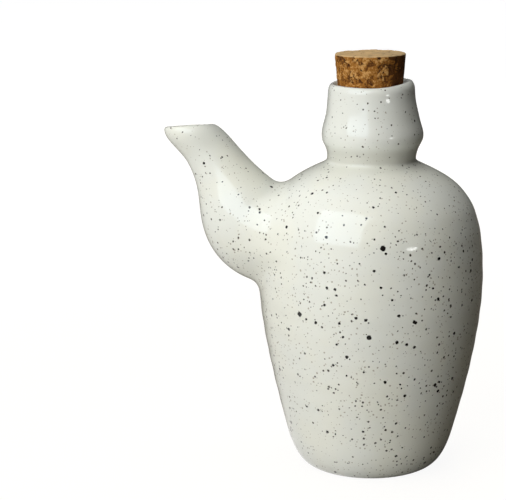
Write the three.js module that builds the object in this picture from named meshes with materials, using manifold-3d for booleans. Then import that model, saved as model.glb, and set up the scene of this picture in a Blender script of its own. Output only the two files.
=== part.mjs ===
// Stoneware soy sauce bottle with an S-shaped pouring spout and a tapered cork stopper.
// Units are millimetres and +Z is up. The origin is the middle of the flat foot, and the spout points along -X.
// The body, the collar and the spout are separate thrown clay pieces that are luted together with slip and fired.
// The cork is pushed into the collar and lifts straight out.
import * as THREE from "three";
import { mergeVertices } from "three/addons/utils/BufferGeometryUtils.js";
import Module from "manifold-3d";

const wasm = await Module();
wasm.setup();

// Clay thicknesses and fits
const WALL = 4.2; // thrown wall of the body, and of the collar where it stands on the shoulder
const FLOOR = 5.5; // clay under the sauce
const SPOUT_WALL = 4;
const LUTING_GAP = 0.3; // slip line between the spout's root and the body
const CORK_CLEARANCE = 0.25; // round the cork where it meets the mouth

// Body, from the foot up
const FOOT_RADIUS = 21.5; // flat part of the underside
const HEEL_RADIUS = 30.6; // where the rounded heel runs into the wall
const HEEL_HEIGHT = 12.7;
const WALL_FLARE = 0.26; // how fast the wall leans out above the heel, radius per height
const BELLY_RADIUS = 40.5; // widest part
const BELLY_HEIGHT = 70;
const WALL_STRAIGHT = 0.19; // how much of the way up the wall keeps that lean
const BELLY_ROUND = 0.34; // and how much it stands upright below the belly
const SHOULDER_ROUND = 0.68; // fullness of the shoulder above the belly, up
const SHOULDER_LEVEL = 0.78; // and in
const SHOULDER_SLOPE = THREE.MathUtils.degToRad(25); // of the shoulder just below the neck
const SHOULDER_RUN = 4.4; // hollow from the shoulder into the neck's groove, outwards and downwards
const SHOULDER_DROP = 4;
const JOINT_HEIGHT = 114.5; // the collar stands here

// Collar, measured up from its joint with the shoulder
const BORE_RADIUS = 11.8; // mouth and neck
const BULGE_SWELL = 2.05; // of the bulge beyond the groove
const BULGE_HEIGHT = 7;
const BULGE_ROUND = 3.4; // height over which the bulge stands nearly upright, above and below
const TAPER_HEIGHT = 12.7; // above this the collar tapers nearly straight to the lip
const TAPER_LEAN = 0.06; // of that stretch, radius per height
const RIM_WALL = 3.9; // the lip is a full round of this thickness
const COLLAR_HEIGHT = 26;

// Spout: a round horn on a bent spine
const ROOT_DEPTH = 12.3; // the spine starts this far inside the belly
const ROOT_DROP = 33.3; // and this far below the collar's joint
const ROOT_ANGLE = THREE.MathUtils.degToRad(25); // the spine leaves the body rising at this angle
const ROOT_SWEEP = 21; // and keeps to it for about this long
const SPOUT_REACH = 23; // middle of the tip, beyond the belly
const SPOUT_RISE = 42.3; // and above the start of the spine
const TIP_ANGLE = THREE.MathUtils.degToRad(50);
const TIP_SWEEP = 42.3;
const TIP_LEAN = 0.75; // the tip is cut nearly level: forward shift of the beak per radius
const LEAN_STATION = 0.2; // the sections start to lean here along the spine
const BULB_RADIUS = 19.2; // swelling at the root
const BULB_STATION = 0.28; // its place along the spine
const TIP_RADIUS = 8.2;
const HOLE_RADIUS = 10; // hole in the body behind the spout
const TOP_FILLET = 9; // clay smoothed into the corner between spout and body
const UNDER_FILLET = 3;

// Cork, measured from the collar's lip
const CORK_PROUD = 9.5; // stands above the lip
const CORK_PLUG = 17.5; // reaches below the lip
const CORK_TAPER = 0.0875; // radius per length
const CORK_EDGE = 0.8; // broken edges at both ends

// Faceting
const TURN_STEPS = 48; // round the thrown pieces and the cork
const SPOUT_STEPS = 36; // round the spout
const SPOUT_RINGS = 24; // along the outside of the spout
const BORE_RINGS = 12; // along its bore
const ROOT_CROWDING = 1.6; // outer rings lie closer together towards the root
const ROOT_RINGS = 4; // across the face that meets the body
const LIP_STEPS = 6; // round a lip
const OUTER_STEPS = 7; // along each curve of an outer outline
const INNER_STEPS = 4; // and of an inner one
const TOUCHING = 1e-3; // closer than this a place lies on the face

// Sizes that follow
const GROOVE_RADIUS = BORE_RADIUS + WALL;
const RIM_RADIUS = BORE_RADIUS + RIM_WALL;
const LIP_HEIGHT = JOINT_HEIGHT + COLLAR_HEIGHT;
const MOUTH_FIT_RADIUS = BORE_RADIUS - CORK_CLEARANCE;

// Materials, with colours as in the photograph
const glaze = new THREE.MeshStandardMaterial({ color: 0xdcdcd0, roughness: 0.18, metalness: 0 });
const corkBark = new THREE.MeshStandardMaterial({ color: 0xb98650, roughness: 0.85, metalness: 0 });

// A geometry's closed surface as a solid that can be cut.
function toSolid(geometry) {
  const bare = new THREE.BufferGeometry();
  bare.setAttribute("position", geometry.getAttribute("position"));
  bare.setIndex(geometry.getIndex());
  const merged = mergeVertices(bare);
  const vertProperties = merged.getAttribute("position").array;
  const triVerts = new Uint32Array(merged.getIndex().array);
  return new wasm.Manifold(new wasm.Mesh({ numProp: 3, vertProperties, triVerts }));
}

// A cut solid as a geometry.
function toGeometry(solid) {
  const { vertProperties, triVerts } = solid.getMesh();
  const geometry = new THREE.BufferGeometry();
  geometry.setAttribute("position", new THREE.BufferAttribute(vertProperties, 3));
  geometry.setIndex(new THREE.BufferAttribute(triVerts, 1));
  geometry.computeVertexNormals();
  return geometry;
}

// Turns a profile of (radius, height) points round the Z axis.
function turn(points) {
  return new THREE.LatheGeometry(points, TURN_STEPS).rotateX(Math.PI / 2);
}

function named(name, geometry, material) {
  const mesh = new THREE.Mesh(geometry, material);
  mesh.name = name;
  return mesh;
}

// The body's outline from the axis to the collar's joint: the outer face, or the inner one where wall and floor
// say how far each key point moves in.
function bodyOutline(wall, floor, steps) {
  const heel = new THREE.Vector2(HEEL_RADIUS - wall, Math.max(HEEL_HEIGHT, floor));
  const belly = new THREE.Vector2(BELLY_RADIUS - wall, BELLY_HEIGHT);
  const shoulder = new THREE.Vector2(
    GROOVE_RADIUS + SHOULDER_RUN - wall * Math.sin(SHOULDER_SLOPE),
    JOINT_HEIGHT - SHOULDER_DROP - wall * Math.cos(SHOULDER_SLOPE),
  );
  const groove = new THREE.Vector2(GROOVE_RADIUS - wall, JOINT_HEIGHT);
  const corner = heel.x - WALL_FLARE * (heel.y - floor);
  const rise = belly.y - heel.y;
  const round = (shoulder.y - belly.y) * SHOULDER_ROUND;
  const level = (belly.x - shoulder.x) * SHOULDER_LEVEL;
  const hollow = shoulder.y + (shoulder.x - groove.x) * Math.tan(SHOULDER_SLOPE);
  const path = new THREE.Path();
  path.moveTo(0, floor);
  path.lineTo(Math.min(FOOT_RADIUS, corner), floor);
  path.quadraticCurveTo(corner, floor, heel.x, heel.y);
  path.bezierCurveTo(
    heel.x + WALL_FLARE * rise * WALL_STRAIGHT, heel.y + rise * WALL_STRAIGHT,
    belly.x, belly.y - rise * BELLY_ROUND,
    belly.x, belly.y,
  );
  path.bezierCurveTo(
    belly.x, belly.y + round,
    shoulder.x + level * Math.cos(SHOULDER_SLOPE), shoulder.y - level * Math.sin(SHOULDER_SLOPE),
    shoulder.x, shoulder.y,
  );
  path.quadraticCurveTo(groove.x, hollow, groove.x, groove.y);
  return path.getPoints(steps);
}

const outerOutline = bodyOutline(0, 0, OUTER_STEPS);

// The nearest point of the body's outer face: the place itself, how far outside it lies and the face's normal there.
function onBody(place) {
  const radius = Math.hypot(place.x, place.y);
  const seen = new THREE.Vector2(radius, place.z);
  let nearest = { gap: Infinity };
  for (let i = 1; i < outerOutline.length; i++) {
    const start = outerOutline[i - 1];
    const along = outerOutline[i].clone().sub(start);
    const share = THREE.MathUtils.clamp(seen.clone().sub(start).dot(along) / along.lengthSq(), 0, 1);
    const face = start.clone().addScaledVector(along, share);
    const square = new THREE.Vector2(along.y, -along.x).normalize();
    const away = seen.clone().sub(face);
    const gap = away.length() * Math.sign(away.dot(square));
    const normal = Math.abs(gap) > TOUCHING ? away.divideScalar(gap) : square;
    if (Math.abs(gap) < Math.abs(nearest.gap)) nearest = { gap, face, normal };
  }
  const turned = ({ x, y }) => new THREE.Vector3((x * place.x) / radius, (x * place.y) / radius, y);
  return { gap: nearest.gap, face: turned(nearest.face), normal: turned(nearest.normal) };
}

// The place moved square to the body's face until it lies this far outside it.
function liftedTo(gap, place) {
  const { face, normal } = onBody(place);
  return face.addScaledVector(normal, gap);
}

// The spout's spine, from inside the body to the middle of the tip.
function spoutSpine() {
  const root = new THREE.Vector3(ROOT_DEPTH - BELLY_RADIUS, 0, JOINT_HEIGHT - ROOT_DROP);
  const tip = new THREE.Vector3(-BELLY_RADIUS - SPOUT_REACH, 0, root.z + SPOUT_RISE);
  const outOfRoot = new THREE.Vector3(-Math.cos(ROOT_ANGLE), 0, Math.sin(ROOT_ANGLE));
  const outOfTip = new THREE.Vector3(-Math.cos(TIP_ANGLE), 0, Math.sin(TIP_ANGLE));
  return new THREE.CubicBezierCurve3(
    root,
    root.clone().addScaledVector(outOfRoot, ROOT_SWEEP),
    tip.clone().addScaledVector(outOfTip, -TIP_SWEEP),
    tip,
  );
}

const spine = spoutSpine();

// Outer radius of the spout: a cosine ease from the bulb at the root to the tip.
function spoutRadius(station) {
  const phase = (Math.PI * (station - BULB_STATION)) / (1 - BULB_STATION);
  return TIP_RADIUS + ((BULB_RADIUS - TIP_RADIUS) * (1 + Math.cos(phase))) / 2;
}

// A place on the spout: station 0 to 1 along the spine, ahead in millimetres beyond it, and radius and angle round it.
// Towards the tip the sections lean from square to the spine to the level cut.
function spoutPlace(station, ahead, radius, angle) {
  const forwards = spine.getTangent(station);
  const sideways = new THREE.Vector3(0, 1, 0);
  const upwards = forwards.clone().cross(sideways).negate();
  const lean = -TIP_LEAN * THREE.MathUtils.smoothstep(station, LEAN_STATION, 1);
  const across = upwards.clone().addScaledVector(forwards, lean);
  const outwards = across.multiplyScalar(Math.cos(angle)).addScaledVector(sideways, Math.sin(angle));
  const place = spine.getPoint(station).addScaledVector(forwards, ahead).addScaledVector(outwards, radius);
  return { place, outwards };
}

// Near the body the spout's outer face slides along the body's face, as the clay smoothed into the corner does.
function smoothedIn(place, outwards, angle) {
  const fillet = THREE.MathUtils.lerp(UNDER_FILLET, TOP_FILLET, (1 + Math.cos(angle)) / 2);
  const { gap, normal } = onBody(place);
  if (gap >= fillet) return place;
  const short = fillet - gap;
  const spread = fillet - Math.sqrt(fillet * fillet - short * short);
  const slide = outwards.clone().addScaledVector(normal, -outwards.dot(normal)).normalize();
  return liftedTo(gap, place.addScaledVector(slide, spread));
}

// The station where the spout's face, thinned by inset, comes out of the body at this angle.
function rootStation(inset, angle) {
  let inside = 0;
  let outside = 1;
  for (let i = 0; i < 40; i++) {
    const middle = (inside + outside) / 2;
    const { place } = spoutPlace(middle, 0, spoutRadius(middle) - inset, angle);
    if (onBody(place).gap < LUTING_GAP) inside = middle;
    else outside = middle;
  }
  return outside;
}

const spoutAngles = Array.from({ length: SPOUT_STEPS }, (_, i) => (2 * Math.PI * i) / SPOUT_STEPS);
const outerRoots = spoutAngles.map((angle) => rootStation(0, angle));
const boreRoots = spoutAngles.map((angle) => rootStation(SPOUT_WALL, angle));

// A ring of the outer face, this share of the way from the root to the tip.
function outerRing(share) {
  return spoutAngles.map((angle, i) => {
    const station = THREE.MathUtils.lerp(outerRoots[i], 1, share);
    const { place, outwards } = spoutPlace(station, 0, spoutRadius(station), angle);
    return smoothedIn(place, outwards, angle);
  });
}

// A ring of the bore.
function boreRing(share) {
  return spoutAngles.map((angle, i) => {
    const station = THREE.MathUtils.lerp(boreRoots[i], 1, share);
    return spoutPlace(station, 0, spoutRadius(station) - SPOUT_WALL, angle).place;
  });
}

// A ring over the tip's round lip, this far over in radians.
function lipRing(over) {
  const lip = SPOUT_WALL / 2;
  const radius = TIP_RADIUS - lip + lip * Math.cos(over);
  return spoutAngles.map((angle) => spoutPlace(1, lip * Math.sin(over), radius, angle).place);
}

// A ring of the face that lies against the body, between the bore's edge and the outer edge.
function rootRing(boreEdge, outerEdge, share) {
  return boreEdge.map((place, i) => liftedTo(LUTING_GAP, place.clone().lerp(outerEdge[i], share)));
}

// Rings joined into one closed tube: each ring to the next, and the last to the first.
function joinRings(rings) {
  const around = rings[0].length;
  const positions = rings.flat().flatMap((place) => place.toArray());
  const index = [];
  rings.forEach((_, row) => {
    const here = row * around;
    const next = ((row + 1) % rings.length) * around;
    for (let i = 0; i < around; i++) {
      const j = (i + 1) % around;
      index.push(here + i, here + j, next + i);
      index.push(next + i, here + j, next + j);
    }
  });
  const geometry = new THREE.BufferGeometry();
  geometry.setAttribute("position", new THREE.Float32BufferAttribute(positions, 3));
  geometry.setIndex(index);
  return geometry;
}

// Thrown shell with a closed floor, open at the neck and pierced behind the spout.
function makeBody() {
  const innerOutline = bodyOutline(WALL, FLOOR, INNER_STEPS);
  const shell = toSolid(turn([...outerOutline, ...innerOutline.reverse()]));
  const holeHeight = spine.getPoint(BULB_STATION).z;
  const cutter = new THREE.CylinderGeometry(HOLE_RADIUS, HOLE_RADIUS, 2 * ROOT_DEPTH, SPOUT_STEPS);
  cutter.rotateZ(Math.PI / 2).translate(-BELLY_RADIUS, 0, holeHeight);
  return named("bottle_body", toGeometry(shell.subtract(toSolid(cutter))), glaze);
}

// Collar that stands on the shoulder: groove, bulge, rolled lip and straight bore.
function makeCollar() {
  const bulgeRadius = GROOVE_RADIUS + BULGE_SWELL;
  const lip = RIM_WALL / 2;
  const lipStart = COLLAR_HEIGHT - lip;
  const path = new THREE.Path();
  path.moveTo(GROOVE_RADIUS, 0);
  path.bezierCurveTo(
    GROOVE_RADIUS, BULGE_HEIGHT - BULGE_ROUND,
    bulgeRadius, BULGE_HEIGHT - BULGE_ROUND,
    bulgeRadius, BULGE_HEIGHT,
  );
  path.bezierCurveTo(
    bulgeRadius, BULGE_HEIGHT + BULGE_ROUND,
    RIM_RADIUS + TAPER_LEAN * (lipStart - TAPER_HEIGHT), TAPER_HEIGHT,
    RIM_RADIUS, lipStart,
  );
  path.absarc(BORE_RADIUS + lip, lipStart, lip, 0, Math.PI, false);
  path.lineTo(BORE_RADIUS, 0);
  path.lineTo(GROOVE_RADIUS, 0);
  const collar = named("neck_collar", turn(path.getPoints(OUTER_STEPS)), glaze);
  collar.position.z = JOINT_HEIGHT;
  return collar;
}

// Thrown horn whose root follows the body's curve: outside from root to tip, over the lip, back down the bore, and
// across the face that lies against the body.
function makeSpout() {
  const rings = [];
  for (let i = 0; i <= SPOUT_RINGS; i++) rings.push(outerRing((i / SPOUT_RINGS) ** ROOT_CROWDING));
  for (let i = 1; i < LIP_STEPS; i++) rings.push(lipRing((Math.PI * i) / LIP_STEPS));
  for (let i = BORE_RINGS; i >= 0; i--) rings.push(boreRing(i / BORE_RINGS));
  const boreEdge = rings[rings.length - 1];
  for (let i = 1; i < ROOT_RINGS; i++) rings.push(rootRing(boreEdge, rings[0], i / ROOT_RINGS));
  return named("spout", joinRings(rings), glaze);
}

// Tapered plug that fits the mouth at the lip.
function makeCork() {
  const topRadius = MOUTH_FIT_RADIUS + CORK_TAPER * CORK_PROUD;
  const endRadius = MOUTH_FIT_RADIUS - CORK_TAPER * CORK_PLUG;
  const profile = [
    new THREE.Vector2(0, -CORK_PLUG),
    new THREE.Vector2(endRadius - CORK_EDGE, -CORK_PLUG),
    new THREE.Vector2(endRadius, CORK_EDGE - CORK_PLUG),
    new THREE.Vector2(topRadius, CORK_PROUD - CORK_EDGE),
    new THREE.Vector2(topRadius - CORK_EDGE, CORK_PROUD),
    new THREE.Vector2(0, CORK_PROUD),
  ];
  const cork = named("cork_stopper", turn(profile), corkBark);
  cork.position.z = LIP_HEIGHT;
  return cork;
}

const bottle = new THREE.Group();
bottle.add(makeBody(), makeCollar(), makeSpout());
const dispenser = new THREE.Group();
dispenser.add(bottle, makeCork());

export default dispenser;
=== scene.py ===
"""Studio picture of a speckled stoneware soy sauce bottle with a cork stopper.

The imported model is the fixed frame. One glazed skin stands for the body, the collar and
the spout, which are fired into one piece, and a granular cork stands for the stopper.
Shapes are worked out in millimetres and then scaled to metres.
"""

import math

import bpy
import numpy as np
from mathutils import Euler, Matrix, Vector, noise


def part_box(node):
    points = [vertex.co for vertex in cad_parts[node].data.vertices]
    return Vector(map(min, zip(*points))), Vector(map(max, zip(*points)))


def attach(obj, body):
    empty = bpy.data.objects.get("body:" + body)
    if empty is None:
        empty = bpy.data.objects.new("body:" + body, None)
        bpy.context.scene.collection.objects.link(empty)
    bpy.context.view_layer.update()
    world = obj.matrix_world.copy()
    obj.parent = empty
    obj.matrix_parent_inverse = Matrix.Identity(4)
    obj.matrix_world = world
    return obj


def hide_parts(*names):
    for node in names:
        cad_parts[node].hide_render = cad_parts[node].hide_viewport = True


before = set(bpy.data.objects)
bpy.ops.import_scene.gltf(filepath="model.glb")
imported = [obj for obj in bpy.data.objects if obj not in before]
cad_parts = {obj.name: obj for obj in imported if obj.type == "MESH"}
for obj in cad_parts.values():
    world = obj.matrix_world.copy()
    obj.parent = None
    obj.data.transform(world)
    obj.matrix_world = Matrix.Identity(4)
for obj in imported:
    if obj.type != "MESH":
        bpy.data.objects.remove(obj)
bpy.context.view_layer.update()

MM = 0.001


def node_box(node):
    """Lowest and highest corner of a CAD node, in millimetres."""
    low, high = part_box(node)
    return np.array(low) / MM, np.array(high) / MM


body_low, body_high = node_box("bottle_body")
collar_low, collar_high = node_box("neck_collar")
spout_low, spout_high = node_box("spout")
cork_low, cork_high = node_box("cork_stopper")

# How much the granular cork stands proud of the plain one
CORK_RISE = 0.4
CORK_GROWTH = 0.25

# Sizes read from the frame
BELLY_RADIUS = body_high[1]
JOINT_HEIGHT = collar_low[2]
LIP_HEIGHT = collar_high[2]
BULGE_RADIUS = collar_high[1]
CORK_TOP = cork_high[2] + CORK_RISE
CORK_END = cork_low[2]
CORK_TOP_RADIUS = cork_high[1] + CORK_GROWTH

# Body outline
WALL = 4.2
BASE_THICKNESS = 5.5
FOOT_RADIUS = 20.5
HEEL_RADIUS = 30.3
HEEL_HEIGHT = 13.2
WALL_FLARE = 0.26
WALL_STRAIGHT = 0.19
BELLY_HEIGHT = 70.0
BELLY_ROUND = 0.34
SHOULDER_ROUND = 0.68
SHOULDER_LEVEL = 0.78
SHOULDER_SLOPE = math.radians(25)
SHOULDER_RUN = 2.6
SHOULDER_DROP = 3.7

# Collar outline, heights above the joint
BORE_RADIUS = 11.8
GROOVE_WALL = 4.0
GROOVE_RADIUS = BORE_RADIUS + GROOVE_WALL
GROOVE_DROP = 1.6
BULGE_HEIGHT = 7.0
BULGE_ROUND = 3.4
TAPER_HEIGHT = 12.7
TAPER_LEAN = 0.06
RIM_WALL = 3.55
LIP_DROP = 3.4
RIM_RADIUS = BORE_RADIUS + RIM_WALL
BORE_OVERRUN = 20.0

# Spout: a tapering tube on a bent spine
ROOT_DEPTH = 12.8
ROOT_DROP = 32.0
ROOT_ANGLE = math.radians(8.5)
ROOT_SWEEP = 23.0
SPOUT_REACH = 25.3
SPOUT_RISE = 44.4
TIP_ANGLE = math.radians(51)
TIP_SWEEP = 37.0
TIP_STATION = 0.965
TIP_RADIUS = 8.4
TIP_FLARE = 1.0
FLARE_START = 0.86
TIP_CUT_STATION = 1.002
TIP_CUT_SLOPE = math.radians(3)
TIP_CUT_TILT = math.radians(7)
BULB_RADIUS = 17.5
BULB_STATION = 0.24
BEHIND_BULB = -0.5
SPOUT_WALL = 4.0
SPOUT_HOLE_RADIUS = 10.0
SPINE_SAMPLES = 18
SPINE_OVERRUN = 1.25
SPINE_REFINEMENTS = 3
SPINE_NARROWING = 3

# How far the soft clay is blended where pieces meet, and lips rounded. The rise and the band are
# heights, and the side is distance from the spout's plane, between which a blend sets in or fades
UNDER_BLEND = 4.0
TOP_BLEND = 5.0
SIDE_BLEND = 13.0
BLEND_RISE = (72.0, 98.0)
BLEND_SIDE = (3.0, 13.0)
BLEND_BAND = (70.0, 85.0, 94.0, 105.0)
TIP_ROUND = 8.0
MOUTH_ROUND = 3.0
LIP_ROUND = 3.0
REACH_MARGIN = 1.0

# Hand-thrown irregularities, and the heights between which each sets in
NECK_SHIFT = 0.7
NECK_SHIFT_BAND = (JOINT_HEIGHT - 5, JOINT_HEIGHT + 3)
NECK_LEAN = 0.4
HEEL_SHIFT = -0.35
HEEL_BAND = (4, 40)
RIM_TILT_RIGHT = 0.3
RIM_TILT_BACK = 0.6
RIM_WAVE = 0.25
RIM_WAVE_COUNT = 3
RIM_WAVE_TURN = 1.0
RIM_BAND = (JOINT_HEIGHT + 10, LIP_HEIGHT - 1)
OVAL = 0.0025
OVAL_TWIST = 0.05
OVAL_BAND = (3, 20)
RING_PITCH = 8.5
RING_DEPTH = 0.05
RING_BAND = (14, 30)

# Grids of the two skins: size of a cell, empty cells kept round them, and how points settle
GLAZE_CELL = 0.85
CORK_CELL = 0.42
GRID_MARGIN = 3
SETTLE_ROUNDS = 2
LEAST_SLOPE = 0.2

# Cork, with the side darkened by painted shade counted in degrees from the front to the right
CORK_TAPER = 0.0875
CORK_EDGE = 0.5
GRAIN_SEED = 7
GRANULE_SIZE = 1.8
GRANULE_RUFFLE = 0.9
GRANULE_SWELL = 0.22
LEVEL_TONE = 0.5
# Painted shade: granules are darkened on the cork's right side, away from the lamps
PAINTED_SHADE_SIDE = (28.0, 44.0, 105.0, 140.0)
PAINTED_SHADE_DARKENING = 0.75
SEAM_WIDTH = 0.42
SEAM_DEPTH = 0.18
SEAM_SHADE = 0.9
CRACK_SIZE = 3.2
CRACK_SHARE = (-0.15, 0.3)
PIT_COUNT = 110
PIT_RADIUS = (0.35, 0.8)
PIT_DEPTH = 0.55
PIT_FLAT = 0.35
PIT_RUFFLE_SIZE = 1.0
PIT_RUFFLE = 0.35

# Cork colours, linear, with the noise scale per metre and the sanded edge below the top, where the top is
# painted paler partly as painted light from above
CORK_DARK = (0.1, 0.036, 0.008, 1)
CORK_MID = (0.3, 0.122, 0.021, 1)
CORK_LIGHT = (0.54, 0.295, 0.095, 1)
# Sanded top, painted paler partly as painted light from above
CORK_TOP_SANDED_AND_LIT = (0.68, 0.49, 0.255, 1)
CORK_PIT_COLOUR = (0.045, 0.016, 0.005, 1)
CORK_SANDING_AND_LIGHT = 0.7
CORK_SANDED_AND_LIT_EDGE = (0.5, 0.15)
CORK_CRUMB_SCALE = 1600.0
CORK_CRUMB_DETAIL = 4.0
CORK_CRUMB_SPREAD = (0.3, 0.7)
CORK_CRUMB_SHADE = 0.35
CORK_CRUMB_BUMP = 0.35
CORK_CRUMB_DEPTH = 0.3
CORK_DARK_SHADES = (-0.1, 0.4)
CORK_LIGHT_SHADES = (0.5, 1.05)
CORK_HOLLOW_SHADES = (0.15, 0.9)
CORK_ROUGHNESS = 0.85
CORK_SPECULAR = 0.1

# Glaze: linear colours, noise scales per metre, and the heights from the neck's joint and
# the distances from the axis beyond the bulge or groove between which a tint fades
GLAZE_COOL = (0.775, 0.79, 0.722, 1)
GLAZE_WARM = (0.795, 0.8, 0.705, 1)
# The neck's cooler grey glaze is partly painted shade
GLAZE_NECK_GREY_AND_SHADE = (0.71, 0.73, 0.69, 1)
NECK_GREYING_AND_SHADE = 0.6
NECK_BAND = (-3, 4)
NECK_REACH = (2, 8)
# Painted shade in the neck's groove, under the bulge
GROOVE_SHADE_COLOUR = (0.45, 0.45, 0.39, 1)
GROOVE_SHADING = 0.6
GROOVE_SHADE_BAND = (-2.6, -1.0, 1.5, 5.5)
GROOVE_SHADE_REACH = (1.2, 0.5)
IRON = (0.006, 0.005, 0.004, 1)
BARE_CLAY = (0.55, 0.47, 0.37, 1)
BARE_FOOT = 0.25
BARE_EDGE = 0.4
GLAZE_ROUGHNESS = 0.075
GLAZE_SPECULAR = 0.45
CLAY_ROUGHNESS = 0.8
CLOUD_SCALE = 45.0
CLOUD_DETAIL = 3.0
CLOUD_SPREAD = (0.35, 0.65)
CROWD_SCALE = 110.0
CROWD_DETAIL = 1.0
CROWD_SPREAD = (0.35, 0.6)
CROWD_SIZES = (0.6, 1.1)
RAGGED_SCALE = 1500.0
RAGGED_DETAIL = 1.0
RAGGED_AMOUNT = 0.5
PEEL_SCALE = 260.0
PEEL_DETAIL = 2.0
PEEL_STRENGTH = 0.1
PEEL_DEPTH = 0.5

# Flecks under the glaze: cell and largest radius in millimetres, strength and colour. Their size
# varies down to the smallest share, and shrinks upwards from a drop below the neck's joint
FLECKS = (
    (1.4, 0.33, 0.65, (0.22, 0.17, 0.1, 1)),
    (2.0, 0.42, 0.97, (0.05, 0.04, 0.028, 1)),
    (3.4, 0.6, 1.0, (0.012, 0.01, 0.008, 1)),
)
FLECK_SMALLEST = 0.45
FLECK_EDGE = 0.16
FLECK_THINNING = 0.75
FLECK_THINNING_DROP = 38

# Large iron spots on the body: angle round the axis in degrees, height and radius in millimetres,
# with a soft edge between two shares of the radius
IRON_EDGE = (0.9, 1.15)
IRON_SPOTS = (
    (-83.4, 88.5, 0.95),
    (-127.3, 63.7, 0.95),
    (-90.3, 57.5, 0.9),
    (-132.3, 104.4, 0.6),
    (-53.4, 83.5, 0.6),
    (-54.6, 69.6, 0.6),
    (-105.1, 62.2, 0.55),
    (-70.0, 35.0, 0.6),
    (-67.8, 62.5, 0.6),
    (-75.7, 65.1, 0.6),
    (-109.3, 37.4, 0.5),
    (-84.6, 75.2, 0.5),
    (-37.2, 38.1, 0.6),
    (-47.9, 34.7, 0.6),
    (8.0, 61.0, 0.55),
    (20.0, 84.0, 0.8),
    (48.0, 55.0, 0.6),
    (75.0, 92.0, 0.6),
    (95.0, 40.0, 0.85),
    (118.0, 70.0, 0.6),
    (150.0, 52.0, 0.7),
    (165.0, 30.0, 0.6),
)

# Camera: place in metres, pitch, roll and yaw in degrees, lens and sensor in millimetres
CAMERA_PLACE = (-0.0002, -0.6047, 0.211)
CAMERA_TURN = (12.258, -0.859, 4.008)
CAMERA_LENS = 121.47
CAMERA_SENSOR = 36.0

# Stage, in metres. Reflections darken towards the dark side, between two values of the dot
# product of that side and the reflected ray
WHITE = (1, 1, 1, 1)
FLOOR_REACH = 6.0
FLOOR_LEVEL = -0.00005
FLOOR_COLOUR = (0.12, 0.107, 0.08, 1)
FLOOR_GLOW = 0.93
FLOOR_FADE = (0.15, 0.7)
DARK_SIDE = (0.8, 0.3, -0.5)
DARK_SPREAD = (-0.7, -0.1)
DARK_LEVEL = 0.05
FILL = (0.006, 0.005, 0.003, 1)

# Lamps: azimuth from the front to the right and elevation in degrees, distance and size in metres,
# power in watts, colour, and whether it lights the bottle and shows as a highlight
LOOK_AT = (-0.01, 0.0, 0.075)
DAYLIGHT = (1.0, 1.0, 1.0)
SKYLIGHT = (0.8, 0.97, 1.12)
LAMPS = (
    ("window", -36, 34, 1.0, (0.93, 0.9), 5.0, DAYLIGHT, True, False),
    ("pane", -36, 36, 0.96, (0.9, 0.87), 7.0, SKYLIGHT, False, True),
    ("low", -30, 4, 1.0, (0.9, 0.34), 6.5, DAYLIGHT, True, False),
    ("side", -90, 12, 1.0, (0.8, 0.5), 0.9, DAYLIGHT, True, False),
    ("top", 150, 84, 1.1, (0.7, 0.7), 5.5, DAYLIGHT, True, False),
    ("rear", 185, 22, 1.0, (0.5, 0.5), 2.5, DAYLIGHT, True, False),
    ("glint", 43, 7, 0.9, (0.16, 0.07), 0.4, DAYLIGHT, False, True),
)


def bezier(*points, steps=40):
    """Points along a quadratic or cubic curve, without the first."""
    points = [np.array(p, float) for p in points]
    t = np.linspace(0, 1, steps + 1)[1:, None]
    if len(points) == 3:
        a, b, c = points
        return (1 - t) ** 2 * a + 2 * t * (1 - t) * b + t * t * c
    a, b, c, d = points
    return (1 - t) ** 3 * a + 3 * t * (1 - t) ** 2 * b + 3 * t * t * (1 - t) * c + t**3 * d


def smoothstep(low, high, value):
    """How far a value has come from low to high, from 0 to 1 with soft ends."""
    share = np.clip((value - low) / (high - low), 0, 1)
    return share * share * (3 - 2 * share)


def body_outline(wall, floor):
    """The thrown body from its axis at the floor to the neck's groove, moved in by wall."""
    heel = np.array([HEEL_RADIUS - wall, HEEL_HEIGHT])
    belly = np.array([BELLY_RADIUS - wall, BELLY_HEIGHT])
    slope = np.array([math.cos(SHOULDER_SLOPE), -math.sin(SHOULDER_SLOPE)])
    shoulder = np.array([GROOVE_RADIUS + SHOULDER_RUN, JOINT_HEIGHT - SHOULDER_DROP])
    shoulder = shoulder - wall * np.array([math.sin(SHOULDER_SLOPE), math.cos(SHOULDER_SLOPE)])
    groove = np.array([GROOVE_RADIUS - wall, JOINT_HEIGHT - GROOVE_DROP])
    corner = heel[0] - WALL_FLARE * (heel[1] - floor)
    rise = belly[1] - heel[1]
    hollow = shoulder[1] + (shoulder[0] - groove[0]) * math.tan(SHOULDER_SLOPE)
    foot = np.array([min(FOOT_RADIUS, corner), floor])
    wall_start = heel + rise * WALL_STRAIGHT * np.array([WALL_FLARE, 1])
    full = belly + [0, (shoulder[1] - belly[1]) * SHOULDER_ROUND]
    level = shoulder + (belly[0] - shoulder[0]) * SHOULDER_LEVEL * slope
    return np.vstack(
        [
            [[0, floor], foot],
            bezier(foot, (corner, floor), heel),
            bezier(heel, wall_start, belly - [0, rise * BELLY_ROUND], belly, steps=100),
            bezier(belly, full, level, shoulder, steps=110),
            bezier(shoulder, (groove[0], hollow), groove, steps=30),
        ]
    )


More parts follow.
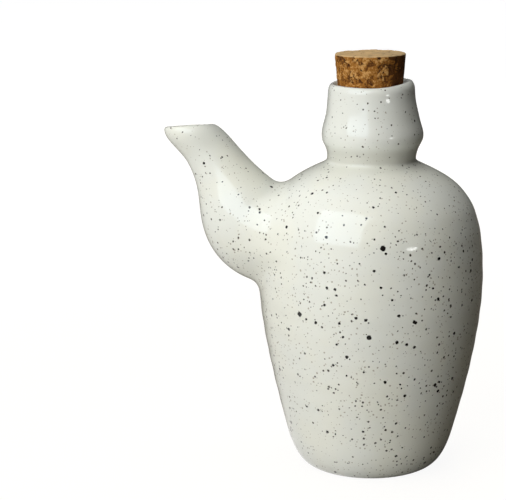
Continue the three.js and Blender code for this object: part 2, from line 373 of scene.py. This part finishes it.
def outer_outline():
    """Body and collar as one filled profile, closed over the mouth."""
    lip = RIM_WALL / 2
    lip_start = LIP_HEIGHT - LIP_DROP
    bulge = JOINT_HEIGHT + BULGE_HEIGHT
    taper = JOINT_HEIGHT + TAPER_HEIGHT
    lean = RIM_RADIUS + TAPER_LEAN * (lip_start - taper)
    groove = (GROOVE_RADIUS, JOINT_HEIGHT - GROOVE_DROP)
    below = bulge - BULGE_ROUND
    swell = [(GROOVE_RADIUS, below), (BULGE_RADIUS, below), (BULGE_RADIUS, bulge)]
    narrow = [(BULGE_RADIUS, bulge + BULGE_ROUND), (lean, taper), (RIM_RADIUS, lip_start)]
    turn = np.linspace(0, math.pi / 2, 13)[1:]
    rim = np.stack([BORE_RADIUS + lip + lip * np.cos(turn), lip_start + LIP_DROP * np.sin(turn)], axis=1)
    return np.vstack(
        [
            body_outline(0, 0),
            bezier(groove, *swell),
            bezier(swell[-1], *narrow),
            rim,
            [[0, LIP_HEIGHT]],
        ]
    )


def cavity_outline():
    """Inside of the body and the neck's bore, open far above the mouth."""
    above = LIP_HEIGHT + BORE_OVERRUN
    bore = [[BORE_RADIUS, JOINT_HEIGHT + WALL], [BORE_RADIUS, above], [0, above]]
    return np.vstack([body_outline(WALL, BASE_THICKNESS), bore])


class Lathe:
    """Signed distance to a profile turned round the Z axis, from a table over (radius, height)."""

    STEP = 0.5
    MARGIN = 6.0
    SIDE_MARGIN = 46.0

    def __init__(self, outline):
        self.low = np.array([-1.0, outline[:, 1].min() - self.MARGIN])
        high = np.array([BELLY_RADIUS + self.SIDE_MARGIN, outline[:, 1].max() + self.MARGIN])
        self.shape = np.ceil((high - self.low) / self.STEP).astype(int) + 1
        radius = self.low[0] + self.STEP * np.arange(self.shape[0])
        height = self.low[1] + self.STEP * np.arange(self.shape[1])
        place = np.stack(np.meshgrid(np.abs(radius), height, indexing="ij"), axis=-1).reshape(-1, 2)
        distance = np.full(len(place), np.inf)
        inside = np.zeros(len(place), bool)
        for start, end in zip(outline[:-1], outline[1:]):
            along = end - start
            share = np.clip(((place - start) @ along) / (along @ along + 1e-12), 0, 1)
            gap = place - start - share[:, None] * along
            distance = np.minimum(distance, np.hypot(gap[:, 0], gap[:, 1]))
            spans = (start[1] > place[:, 1]) != (end[1] > place[:, 1])
            if along[1]:
                crossing = start[0] + along[0] * (place[:, 1] - start[1]) / along[1]
                inside ^= spans & (place[:, 0] < crossing)
        self.table = np.where(inside, -distance, distance).reshape(self.shape)

    def __call__(self, radius, height):
        u = np.clip((radius - self.low[0]) / self.STEP, 0, self.shape[0] - 1.001)
        v = np.clip((height - self.low[1]) / self.STEP, 0, self.shape[1] - 1.001)
        i, j = u.astype(int), v.astype(int)
        a, b = u - i, v - j
        low = self.table[i, j] * (1 - a) + self.table[i + 1, j] * a
        high = self.table[i, j + 1] * (1 - a) + self.table[i + 1, j + 1] * a
        return low * (1 - b) + high * b


def blend_union(a, b, width):
    """Union of two fields with clay smoothed into the corner over this width."""
    near = np.maximum(width - np.abs(a - b), 0) / width
    return np.minimum(a, b) - near * near * width / 4


def blend_cut(a, b, width):
    """Intersection of two fields with its edge rounded over this width."""
    return -blend_union(-a, -b, width)


class Spout:
    """Signed distance to a ball of changing radius moved along the spout's spine."""

    def __init__(self):
        root = np.array([ROOT_DEPTH - BELLY_RADIUS, JOINT_HEIGHT - ROOT_DROP])
        tip = np.array([-BELLY_RADIUS - SPOUT_REACH, root[1] + SPOUT_RISE])
        self.forwards = np.array([-math.cos(TIP_ANGLE), math.sin(TIP_ANGLE)])
        out = ROOT_SWEEP * np.array([-math.cos(ROOT_ANGLE), math.sin(ROOT_ANGLE)])
        self.ends = (root, root + out, tip - TIP_SWEEP * self.forwards, tip)
        self.speed = 3 * TIP_SWEEP

    def centre(self, station):
        """Spine points in the XZ plane, straight on beyond its end."""
        a, b, c, d = self.ends
        t = np.minimum(station, 1)[:, None]
        curve = (1 - t) ** 3 * a + 3 * t * (1 - t) ** 2 * b + 3 * t * t * (1 - t) * c + t**3 * d
        beyond = np.maximum(station - 1, 0)[:, None]
        return curve + beyond * self.speed * self.forwards

    def radius(self, station):
        """Outer radius along the spine: widest at the bulb, with a slight flare at the tip."""
        share = np.clip((station - BULB_STATION) / (TIP_STATION - BULB_STATION), BEHIND_BULB, 1)
        flare = TIP_FLARE * smoothstep(FLARE_START, 1, station)
        return TIP_RADIUS + flare + (BULB_RADIUS - TIP_RADIUS) * (1 + np.cos(math.pi * share)) / 2

    def reach(self, place, station, inset, most):
        """Distance of places from the ball at a station, made smaller by inset and never above most."""
        middle = self.centre(station)
        along, up = place[:, 0] - middle[:, 0], place[:, 2] - middle[:, 1]
        gap = np.sqrt(along**2 + place[:, 1] ** 2 + up**2)
        return gap - np.minimum(self.radius(station) - inset, most)

    def __call__(self, place, inset=0.0, most=np.inf):
        stations = np.linspace(0, SPINE_OVERRUN, SPINE_SAMPLES)
        best = np.full(len(place), np.inf)
        station = np.zeros(len(place))
        for value in stations:
            here = self.reach(place, np.full(len(place), value), inset, most)
            closer = here < best
            best[closer] = here[closer]
            station[closer] = value
        step = stations[1]
        for _ in range(SPINE_REFINEMENTS):
            before = self.reach(place, np.maximum(station - step, 0), inset, most)
            after = self.reach(place, station + step, inset, most)
            bend = np.maximum(before + after - 2 * best, 1e-9)
            move = np.clip((before - after) / (2 * bend), -1, 1)
            station = np.clip(station + step * move, 0, SPINE_OVERRUN)
            best = self.reach(place, station, inset, most)
            step /= SPINE_NARROWING
        return best

    def tip_plane(self, place):
        """Signed distance above the nearly level cut that opens the tip."""
        middle = self.centre(np.array([TIP_CUT_STATION]))[0]
        normal = np.array([-math.sin(TIP_CUT_SLOPE), math.sin(TIP_CUT_TILT), math.cos(TIP_CUT_SLOPE)])
        return (place - [middle[0], 0, middle[1]]) @ (normal / np.linalg.norm(normal))


class Bottle:
    """Signed distance to the clay of the whole fired bottle."""

    def __init__(self):
        self.outer = Lathe(outer_outline())
        self.cavity = Lathe(cavity_outline())
        self.spout = Spout()
        self.spout_low = spout_low - SIDE_BLEND - REACH_MARGIN
        self.spout_high = spout_high + SIDE_BLEND + REACH_MARGIN

    def thrown(self, place):
        """Radius and height on the wheel of a place on the slightly uneven pot."""
        x, y, z = place.T
        neck = smoothstep(*NECK_SHIFT_BAND, z)
        heel = 1 - smoothstep(*HEEL_BAND, z)
        lean = smoothstep(JOINT_HEIGHT + BULGE_HEIGHT, LIP_HEIGHT, z)
        x = x - NECK_SHIFT * neck + NECK_LEAN * lean - HEEL_SHIFT * heel
        angle = np.arctan2(y, x)
        wave = RIM_WAVE * np.cos(RIM_WAVE_COUNT * angle + RIM_WAVE_TURN)
        tilt = RIM_TILT_RIGHT * np.cos(angle) + RIM_TILT_BACK * np.sin(angle) + wave
        height = z - tilt * smoothstep(*RIM_BAND, z)
        wheel_marks = RING_DEPTH * np.sin(2 * math.pi * z / RING_PITCH + angle) * smoothstep(*RING_BAND, z)
        uneven = OVAL * np.cos(2 * angle + OVAL_TWIST * z) * smoothstep(*OVAL_BAND, z)
        return np.hypot(x, y) * (1 - uneven) - wheel_marks, height

    def root_blend(self, place):
        """Width of the blend round the spout's root: widest on its sides, narrow below."""
        middle = UNDER_BLEND + (TOP_BLEND - UNDER_BLEND) * smoothstep(*BLEND_RISE, place[:, 2])
        start, full, fade, end = BLEND_BAND
        band = smoothstep(start, full, place[:, 2]) * (1 - smoothstep(fade, end, place[:, 2]))
        return middle + (SIDE_BLEND - middle) * band * smoothstep(*BLEND_SIDE, np.abs(place[:, 1]))

    def __call__(self, place):
        body = self.outer(*self.thrown(place))
        cavity = self.cavity(np.hypot(place[:, 0], place[:, 1]), place[:, 2])
        clay = blend_cut(body, -cavity, LIP_ROUND)
        reach = (place > self.spout_low) & (place < self.spout_high)
        side = np.where(reach.all(axis=1))[0]
        near = place[side]
        horn = blend_cut(self.spout(near), self.spout.tip_plane(near), TIP_ROUND)
        whole = blend_union(body[side], horn, self.root_blend(near))
        bore = self.spout(near, SPOUT_WALL, SPOUT_HOLE_RADIUS)
        clay[side] = blend_cut(blend_cut(whole, -cavity[side], LIP_ROUND), -bore, MOUTH_ROUND)
        return clay


def grid_field(field, low, high, cell):
    """A field on a regular grid, worked out slab by slab."""
    counts = np.ceil((high - low) / cell).astype(int) + 1
    axes = [low[k] + cell * np.arange(counts[k]) for k in range(3)]
    flat = np.stack(np.meshgrid(axes[1], axes[2], indexing="ij"), axis=-1).reshape(-1, 2)
    values = np.empty(counts)
    for i, x in enumerate(axes[0]):
        place = np.column_stack([np.full(len(flat), x), flat])
        values[i] = field(place).reshape(counts[1:])
    return values


def net_surface(values, low, cell):
    """Points and quads of a grid's zero surface, one point in each cell that it crosses."""
    inside = values < 0
    size = np.array(values.shape) - 1
    corner = [(i, j, k) for i in (0, 1) for j in (0, 1) for k in (0, 1)]

    def shifted(array, c):
        return array[c[0] : c[0] + size[0], c[1] : c[1] + size[1], c[2] : c[2] + size[2]]

    filled = sum(shifted(inside, c).astype(np.int8) for c in corner)
    crossed = (filled > 0) & (filled < 8)
    number = np.full(size, -1)
    number[crossed] = np.arange(crossed.sum())
    total = np.zeros((crossed.sum(), 3))
    count = np.zeros(crossed.sum())
    for a in corner:
        for axis in range(3):
            if a[axis]:
                continue
            b = tuple(v + (k == axis) for k, v in enumerate(a))
            start, end = shifted(values, a)[crossed], shifted(values, b)[crossed]
            change = (start < 0) != (end < 0)
            share = np.where(change, start / np.where(change, start - end, 1), 0)
            point = np.array(a, float) + np.zeros((len(share), 3))
            point[:, axis] += share
            total += point * change[:, None]
            count += change
    points = low + cell * (np.argwhere(crossed) + total / count[:, None])
    quads = []
    for axis in range(3):
        u, v = (axis + 1) % 3, (axis + 2) % 3
        start = [slice(1, -1)] * 3
        start[axis] = slice(0, -1)
        end = [slice(1, -1)] * 3
        end[axis] = slice(1, None)
        first, second = inside[tuple(start)], inside[tuple(end)]
        for leaving in (True, False):
            edge = np.argwhere((first == leaving) & (second != leaving))
            edge[:, [u, v]] += 1
            ring = []
            for du, dv in ((1, 1), (0, 1), (0, 0), (1, 0)):
                cell_at = edge.copy()
                cell_at[:, u] -= du
                cell_at[:, v] -= dv
                ring.append(number[cell_at[:, 0], cell_at[:, 1], cell_at[:, 2]])
            quads.append(np.stack(ring if leaving else ring[::-1], axis=1))
    return points, np.vstack(quads)


def slope_of(field, points, step):
    """Gradient of a field at points."""
    slope = np.empty_like(points)
    for axis in range(3):
        move = np.zeros(3)
        move[axis] = step
        slope[:, axis] = (field(points + move) - field(points - move)) / (2 * step)
    return slope


def settle(field, points, cell):
    """Moves points onto a field's zero surface, and gives the outward normals there."""
    for _ in range(SETTLE_ROUNDS):
        slope = slope_of(field, points, cell / 2)
        steep = np.maximum((slope**2).sum(axis=1), LEAST_SLOPE)
        points = points - (field(points) / steep)[:, None] * slope
    slope = slope_of(field, points, cell / 2)
    return points, slope / np.linalg.norm(slope, axis=1)[:, None]


def mesh_object(name, points, faces, material, body, nodes):
    """A smooth mesh from points in millimetres, which rides on a body and stands for CAD nodes."""
    mesh = bpy.data.meshes.new(name)
    mesh.from_pydata((points * MM).tolist(), [], faces.tolist())
    mesh.validate()
    mesh.polygons.foreach_set("use_smooth", np.ones(len(mesh.polygons), bool))
    mesh.materials.append(material)
    piece = bpy.data.objects.new(name, mesh)
    bpy.context.collection.objects.link(piece)
    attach(piece, body)
    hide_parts(*nodes)
    return piece


class Nodes:
    """Short ways to build a node tree."""

    def __init__(self, tree):
        self.tree = tree

    def add(self, kind, inputs=None, **settings):
        node = self.tree.nodes.new("ShaderNode" + kind)
        for key, value in settings.items():
            setattr(node, key, value)
        for key, value in (inputs or {}).items():
            self.set(node.inputs[key], value)
        return node

    def math(self, operation, a, b):
        return self.add("Math", {0: a, 1: b}, operation=operation).outputs[0]

    def ramp(self, value, low, high, to_low=0.0, to_high=1.0):
        inputs = {"Value": value, "From Min": low, "From Max": high, "To Min": to_low, "To Max": to_high}
        return self.add("MapRange", inputs, interpolation_type="SMOOTHSTEP").outputs["Result"]

    def noise(self, place, scale, detail):
        return self.add("TexNoise", {"Vector": place, "Scale": scale, "Detail": detail})

    def mix(self, share, a, b):
        node = self.add("Mix", data_type="RGBA")
        for name, value in (("Factor", share), ("A", a), ("B", b)):
            self.set(node.inputs[name], value)
        return node.outputs["Result"]

    def set(self, socket, value):
        if isinstance(value, bpy.types.NodeSocket):
            self.tree.links.new(value, socket)
        else:
            socket.default_value = value


class MaterialNodes(Nodes):
    """A new material's node tree."""

    def __init__(self, name):
        self.material = bpy.data.materials.new(name)
        self.material.use_nodes = True
        super().__init__(self.material.node_tree)
        self.shader = self.tree.nodes["Principled BSDF"]


class CorkGrain:
    """Granules pressed together round scattered centres, with pits where a crumb has come away, and painted
    shade darkening the granules on the right side.
    """

    CHUNK = 1500

    def __init__(self, points):
        rng = np.random.default_rng(GRAIN_SEED)
        low = points.min(axis=0) - GRANULE_SIZE
        counts = np.ceil((np.ptp(points, axis=0) + 2 * GRANULE_SIZE) / GRANULE_SIZE).astype(int)
        cells = np.argwhere(np.ones(counts, bool))
        self.centres = low + GRANULE_SIZE * (cells + rng.random(cells.shape))
        # Painted shade: the granules' tones are darkened on the right side
        azimuth = np.degrees(np.arctan2(self.centres[:, 0], -self.centres[:, 1]))
        start, full, fade, end = PAINTED_SHADE_SIDE
        painted_shade = smoothstep(start, full, azimuth) * (1 - smoothstep(fade, end, azimuth))
        self.tones_and_shade = rng.random(len(cells)) - PAINTED_SHADE_DARKENING * painted_shade
        self.pits = points[rng.choice(len(points), PIT_COUNT, replace=False)]
        self.pit_radius = rng.uniform(*PIT_RADIUS, PIT_COUNT)

    def granules(self, points):
        """Tone of the granule at each point, darkened on the right side by painted shade, and how near the
        point is to the seam round it.
        """
        tone_and_shade = np.empty(len(points))
        seam = np.empty(len(points))
        for start in range(0, len(points), self.CHUNK):
            chunk = slice(start, start + self.CHUNK)
            gap = np.linalg.norm(points[chunk, None] - self.centres, axis=2)
            owner = gap.argmin(axis=1)
            nearest = np.partition(gap, 1, axis=1)
            tone_and_shade[chunk] = self.tones_and_shade[owner]
            seam[chunk] = 1 - smoothstep(0, SEAM_WIDTH, nearest[:, 1] - nearest[:, 0])
        return tone_and_shade, seam

    def pitting(self, points):
        """How deep each point lies in a pit, from 0 to 1."""
        depth = np.zeros(len(points))
        for centre, radius in zip(self.pits, self.pit_radius):
            share = np.linalg.norm(points - centre, axis=1) / radius
            depth = np.maximum(depth, 1 - smoothstep(PIT_FLAT, 1, share))
        return depth


def cork_field(place):
    """Signed distance to the tapered stopper with broken edges."""
    radius = CORK_TOP_RADIUS - CORK_TAPER * (CORK_TOP - place[:, 2])
    side = (np.hypot(place[:, 0], place[:, 1]) - radius) / math.hypot(1, CORK_TAPER)
    ends = np.maximum(place[:, 2] - CORK_TOP, CORK_END - place[:, 2])
    return blend_cut(side, ends, CORK_EDGE)


def ruffled(points, size, amount):
    """Points moved about by smooth noise."""
    moves = [noise.noise_vector(Vector(point)) for point in points / size]
    return points + amount * np.array(moves)


def build_cork():
    """The stopper, with its granules, cracks and pits as relief."""
    # Vector noise starts from the clock unless it is given a seed
    noise.seed_set(GRAIN_SEED)
    reach = CORK_TOP_RADIUS + GRID_MARGIN * CORK_CELL
    low = np.array([-reach, -reach, CORK_END - GRID_MARGIN * CORK_CELL])
    high = np.array([reach, reach, CORK_TOP + GRID_MARGIN * CORK_CELL])
    values = grid_field(cork_field, low, high, CORK_CELL)
    points, faces = net_surface(values, low, CORK_CELL)
    points, normals = settle(cork_field, points, CORK_CELL)
    grain = CorkGrain(points)
    loose = ruffled(points, GRANULE_SIZE, GRANULE_RUFFLE)
    tone_and_shade, seam = grain.granules(loose)
    pit = grain.pitting(ruffled(points, PIT_RUFFLE_SIZE, PIT_RUFFLE))
    patches = np.array([noise.noise(Vector(point)) for point in points / CRACK_SIZE])
    seam = seam * smoothstep(*CRACK_SHARE, patches)
    swell = GRANULE_SWELL * (np.maximum(tone_and_shade, 0) - LEVEL_TONE) - SEAM_DEPTH * seam - PIT_DEPTH * pit
    cork = mesh_object(
        "cork", points + swell[:, None] * normals, faces, cork_material(), "cork", ["cork_stopper"]
    )
    # The granule attribute holds each granule's tone with the painted shade on the right side
    for name, value in (("granule", tone_and_shade), ("hollow", np.maximum(pit, SEAM_SHADE * seam))):
        cork.data.attributes.new(name, "FLOAT", "POINT").data.foreach_set("value", value.astype(np.float32))
    return cork


def build_bottle():
    """Body, collar and spout as one glazed skin, inside and out."""
    clay = Bottle()
    margin = GRID_MARGIN * GLAZE_CELL
    low = np.array([spout_low[0], body_low[1], 0.0]) - margin
    high = np.array([body_high[0], body_high[1], LIP_HEIGHT + RIM_TILT_RIGHT + RIM_TILT_BACK]) + margin
    values = grid_field(clay, low, high, GLAZE_CELL)
    points, faces = net_surface(values, low, GLAZE_CELL)
    points, normals = settle(clay, points, GLAZE_CELL)
    nodes = ["bottle_body", "neck_collar", "spout"]
    bottle = mesh_object(
        "glazed_bottle", points, faces, glaze_material(), "bottle", nodes
    )
    bottle.data.normals_split_custom_set_from_vertices(normals.tolist())
    return bottle


def cork_material():
    """Matt pressed cork: a tone for each granule with painted shade on the right side, dark seams and pits,
    and a sanded top painted paler, partly as painted light from above.
    """
    n = MaterialNodes("pressed_cork")
    tone_and_shade = n.add("Attribute", attribute_name="granule").outputs["Fac"]
    hollow = n.add("Attribute", attribute_name="hollow").outputs["Fac"]
    place = n.add("TexCoord").outputs["Object"]
    crumb = n.noise(place, CORK_CRUMB_SCALE, CORK_CRUMB_DETAIL).outputs["Fac"]
    grit = n.ramp(crumb, *CORK_CRUMB_SPREAD, -CORK_CRUMB_SHADE, CORK_CRUMB_SHADE)
    shade = n.math("ADD", tone_and_shade, grit)
    colour = n.mix(n.ramp(shade, *CORK_DARK_SHADES), CORK_DARK, CORK_MID)
    colour = n.mix(n.ramp(shade, *CORK_LIGHT_SHADES), colour, CORK_LIGHT)
    # The sanded top gets fewer pits and a paler colour, the paler colour partly painted light from above
    height = height_of(n, place)
    start, full = [(CORK_TOP - below) * MM for below in CORK_SANDED_AND_LIT_EDGE]
    sanded_and_lit = n.ramp(height, start, full, 0.0, CORK_SANDING_AND_LIGHT)
    colour = n.mix(sanded_and_lit, colour, CORK_TOP_SANDED_AND_LIT)
    open_pits = n.math("SUBTRACT", 1.0, n.math("MULTIPLY", sanded_and_lit, CORK_SANDING_AND_LIGHT))
    dark = n.math("MULTIPLY", n.ramp(hollow, *CORK_HOLLOW_SHADES), open_pits)
    colour = n.mix(dark, colour, CORK_PIT_COLOUR)
    n.set(n.shader.inputs["Base Color"], colour)
    n.shader.inputs["Roughness"].default_value = CORK_ROUGHNESS
    n.shader.inputs["Specular IOR Level"].default_value = CORK_SPECULAR
    bump = n.add("Bump", {"Height": crumb, "Strength": CORK_CRUMB_BUMP, "Distance": CORK_CRUMB_DEPTH * MM})
    n.set(n.shader.inputs["Normal"], bump.outputs["Normal"])
    return n.material


def spot_mask(n, place, cell, radius, seed, thinning):
    """Round flecks of varied size, scattered through space with one to a cell."""
    shifted = n.add("VectorMath", {0: place, 1: (seed, seed * 2, seed * 3)}, operation="ADD").outputs[0]
    cells = n.add("TexVoronoi", {"Vector": shifted, "Scale": 1 / (cell * MM)}, feature="F1")
    chance = n.add("SeparateColor", {0: cells.outputs["Color"]}).outputs["Red"]
    size = n.ramp(chance, 0.0, 1.0, FLECK_SMALLEST * radius / cell, radius / cell)
    crowd = n.noise(shifted, CROWD_SCALE, CROWD_DETAIL).outputs["Fac"]
    size = n.math("MULTIPLY", size, n.ramp(crowd, *CROWD_SPREAD, *CROWD_SIZES))
    share = n.math("DIVIDE", cells.outputs["Distance"], n.math("MULTIPLY", size, thinning))
    return n.ramp(share, 1 - FLECK_EDGE, 1 + FLECK_EDGE, 1.0, 0.0)


def iron_spot_places():
    """Places of the large iron spots on the body, in metres."""
    outline = body_outline(0, 0)
    for angle, height, radius in IRON_SPOTS:
        reach = np.interp(height, outline[:, 1], outline[:, 0])
        turn = math.radians(angle)
        yield (reach * math.cos(turn) * MM, reach * math.sin(turn) * MM, height * MM), radius * MM


def height_of(n, place):
    """Height of a place above the table."""
    return n.add("SeparateXYZ", {0: place}).outputs["Z"]


def reach_of(n, place):
    """Distance of a place from the bottle's axis."""
    level = n.add("VectorMath", {0: place, 1: (1, 1, 0)}, operation="MULTIPLY").outputs[0]
    return n.add("VectorMath", {0: level}, operation="LENGTH").outputs["Value"]


def neck_grey_and_shade_mask(n, place):
    """How much a place lies on the neck, where the glaze is a cooler grey, partly as painted shade."""
    near_start, near_end = [(BULGE_RADIUS + beyond) * MM for beyond in NECK_REACH]
    near = n.ramp(reach_of(n, place), near_start, near_end, NECK_GREYING_AND_SHADE, 0.0)
    start, full = [(JOINT_HEIGHT + above) * MM for above in NECK_BAND]
    return n.math("MULTIPLY", near, n.ramp(height_of(n, place), start, full))


def groove_shade_mask(n, place):
    """How much a place lies in the neck's groove, where painted shade darkens the glaze under the bulge."""
    start, full, fade, end = [(JOINT_HEIGHT + above) * MM for above in GROOVE_SHADE_BAND]
    height = height_of(n, place)
    band = n.math("MULTIPLY", n.ramp(height, start, full), n.ramp(height, fade, end, 1.0, 0.0))
    reach = reach_of(n, place)
    full_reach, no_reach = GROOVE_SHADE_REACH
    near = n.ramp(reach, (GROOVE_RADIUS + full_reach) * MM, (BULGE_RADIUS + no_reach) * MM, GROOVE_SHADING, 0.0)
    return n.math("MULTIPLY", near, band)


def glaze_material():
    """Glossy warm white glaze over speckled clay, with a bare flat foot."""
    n = MaterialNodes("speckled_glaze")
    place = n.add("TexCoord").outputs["Object"]
    cloud = n.noise(place, CLOUD_SCALE, CLOUD_DETAIL).outputs["Fac"]
    colour = n.mix(n.ramp(cloud, *CLOUD_SPREAD), GLAZE_COOL, GLAZE_WARM)
    # Cooler grey neck, partly painted shade
    colour = n.mix(neck_grey_and_shade_mask(n, place), colour, GLAZE_NECK_GREY_AND_SHADE)
    # Painted shade in the neck's groove under the bulge
    colour = n.mix(groove_shade_mask(n, place), colour, GROOVE_SHADE_COLOUR)
    ragged = n.noise(place, RAGGED_SCALE, RAGGED_DETAIL).outputs["Color"]
    edge = n.add("VectorMath", {0: ragged, 1: (RAGGED_AMOUNT * MM,) * 3}, operation="MULTIPLY").outputs[0]
    specks = n.add("VectorMath", {0: place, 1: edge}, operation="ADD").outputs[0]
    height = height_of(n, place)
    thin_start = (JOINT_HEIGHT - FLECK_THINNING_DROP) * MM
    thinning = n.ramp(height, thin_start, (JOINT_HEIGHT + BULGE_HEIGHT) * MM, 1.0, FLECK_THINNING)
    for seed, (cell, radius, strength, tint) in enumerate(FLECKS):
        mask = spot_mask(n, specks, cell, radius, seed, thinning)
        colour = n.mix(n.math("MULTIPLY", mask, strength), colour, tint)
    for middle, radius in iron_spot_places():
        gap = n.add("VectorMath", {0: specks, 1: middle}, operation="DISTANCE").outputs["Value"]
        inner, outer = [radius * share for share in IRON_EDGE]
        colour = n.mix(n.ramp(gap, inner, outer, 1.0, 0.0), colour, IRON)
    glazed = n.ramp(height, BARE_FOOT * MM, (BARE_FOOT + BARE_EDGE) * MM)
    colour = n.mix(glazed, BARE_CLAY, colour)
    n.set(n.shader.inputs["Base Color"], colour)
    roughness = n.ramp(glazed, 0.0, 1.0, CLAY_ROUGHNESS, GLAZE_ROUGHNESS)
    n.set(n.shader.inputs["Roughness"], roughness)
    n.shader.inputs["Specular IOR Level"].default_value = GLAZE_SPECULAR
    swirl = n.noise(place, PEEL_SCALE, PEEL_DETAIL).outputs["Fac"]
    bump = n.add("Bump", {"Height": swirl, "Strength": PEEL_STRENGTH, "Distance": PEEL_DEPTH * MM})
    n.set(n.shader.inputs["Normal"], bump.outputs["Normal"])
    return n.material


def sheet(name, corners):
    """A flat four-cornered stage piece, corners in metres."""
    mesh = bpy.data.meshes.new(name)
    mesh.from_pydata(corners, [], [list(range(len(corners)))])
    piece = bpy.data.objects.new(name, mesh)
    bpy.context.collection.objects.link(piece)
    return piece


def white_seen(n, direction):
    """How white the studio looks to a ray: all white, but reflections darken towards the dark side."""
    path = n.add("LightPath").outputs
    turned = n.add("VectorMath", {0: direction, 1: DARK_SIDE}, operation="DOT_PRODUCT").outputs["Value"]
    reflected = n.math("MULTIPLY", path["Is Glossy Ray"], n.ramp(turned, *DARK_SPREAD, 1.0, DARK_LEVEL))
    direct = n.math("MAXIMUM", path["Is Camera Ray"], path["Is Transmission Ray"])
    return n.math("MAXIMUM", direct, reflected)


def build_floor():
    """A large pale floor: lit and shadowed near the bottle, plain white away from it."""
    signs = ((-1, -1), (1, -1), (1, 1), (-1, 1))
    floor = sheet("floor", [(x * FLOOR_REACH, y * FLOOR_REACH, FLOOR_LEVEL) for x, y in signs])
    n = MaterialNodes("pale_floor")
    n.tree.nodes.remove(n.shader)
    diffuse = n.add("BsdfDiffuse", {"Color": FLOOR_COLOUR})
    place = n.add("TexCoord").outputs["Object"]
    away = n.add("VectorMath", {0: place}, operation="LENGTH").outputs["Value"]
    glow = n.ramp(away, *FLOOR_FADE, FLOOR_GLOW, 1.0)
    outwards = n.add("VectorMath", {0: place}, operation="NORMALIZE").outputs["Vector"]
    glow = n.math("MULTIPLY", glow, white_seen(n, outwards))
    emission = n.add("Emission", {"Color": WHITE, "Strength": glow})
    both = n.add("AddShader", {0: diffuse.outputs[0], 1: emission.outputs[0]})
    n.set(n.tree.nodes["Material Output"].inputs["Surface"], both.outputs[0])
    floor.data.materials.append(n.material)


def light_world():
    """Faint warm fill for the object, and white for what the camera and reflections see."""
    world = bpy.data.worlds.new("studio")
    bpy.context.scene.world = world
    world.use_nodes = True
    n = Nodes(world.node_tree)
    background = n.tree.nodes["Background"]
    direction = n.add("TexCoord").outputs["Generated"]
    fill = n.mix(white_seen(n, direction), FILL, WHITE)
    n.set(background.inputs["Color"], fill)


def area_lamp(name, azimuth, elevation, distance, size, power, colour, lights, shines):
    """A soft lamp that faces the bottle, its azimuth counted from the front to the right.

    It may light the bottle, shine in the glaze as a highlight, or both.
    """
    lamp = bpy.data.lights.new(name, "AREA")
    lamp.shape = "RECTANGLE"
    lamp.size, lamp.size_y = size
    lamp.energy = power
    lamp.color = colour
    place = bpy.data.objects.new(name, lamp)
    turn, rise = math.radians(azimuth), math.radians(elevation)
    level = math.cos(rise)
    away = Vector((level * math.sin(turn), -level * math.cos(turn), math.sin(rise)))
    place.location = Vector(LOOK_AT) + distance * away
    place.rotation_euler = away.to_track_quat("Z", "Y").to_euler()
    place.visible_diffuse = lights
    place.visible_glossy = shines
    place.visible_camera = False
    bpy.context.collection.objects.link(place)


def place_camera():
    """The camera that sees the bottle as the photo does."""
    camera = bpy.data.objects.new("camera", bpy.data.cameras.new("camera"))
    camera.data.lens = CAMERA_LENS
    camera.data.sensor_width = CAMERA_SENSOR
    camera.location = CAMERA_PLACE
    pitch, roll, yaw = CAMERA_TURN
    facing = Euler((math.radians(90 - pitch), 0, math.radians(yaw))).to_matrix()
    tilt = Euler((0, 0, math.radians(roll))).to_matrix()
    camera.rotation_euler = (facing @ tilt).to_euler()
    bpy.context.collection.objects.link(camera)
    bpy.context.scene.camera = camera


place_camera()
build_bottle()
build_cork()
build_floor()
light_world()
for lamp in LAMPS:
    area_lamp(*lamp)

bpy.context.scene.view_settings.view_transform = "Standard"
